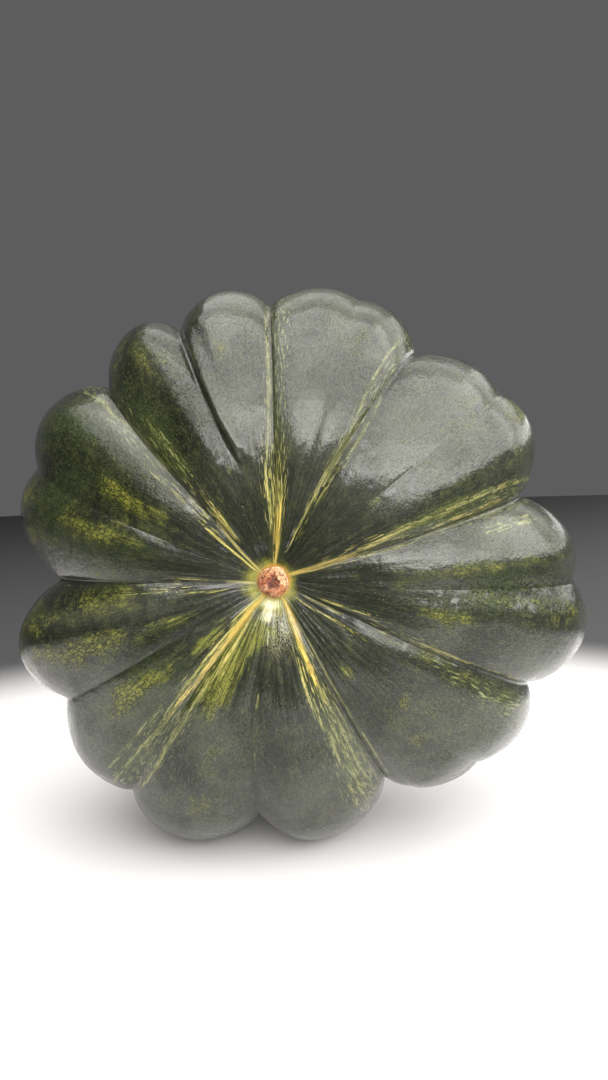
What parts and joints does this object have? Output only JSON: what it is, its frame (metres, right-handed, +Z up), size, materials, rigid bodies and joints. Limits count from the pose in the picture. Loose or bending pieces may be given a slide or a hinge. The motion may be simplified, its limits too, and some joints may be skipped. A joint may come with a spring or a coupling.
{
  "type": "pumpkin",
  "caption": "Flat-round, deeply ribbed unripe green pumpkin standing on its rim, blossom scar in front and cut stalk behind.",
  "frame": {"origin": "bottom centre of the whole object's box, on the ground that the two lowest lobes stand on", "axes": "+Z up; the fruit's growing axis lies along Y, with the blossom scar at the -Y side and the stalk at the +Y side"},
  "size_m": [0.3346, 0.1952, 0.3212],
  "materials": {
    "skin": "waxy semi-matte rind, dark green with a grey bloom, speckled and striped yellow along the furrows",
    "stalk": "dry ridged green-brown stalk with a pale cut end",
    "cork": "rough tan-orange corky scar with dark pits"
  },
  "bodies": {
    "root": {"fruit": "skin", "stem": "stalk", "blossom_scar": "cork"}
  },
  "joints": []
}
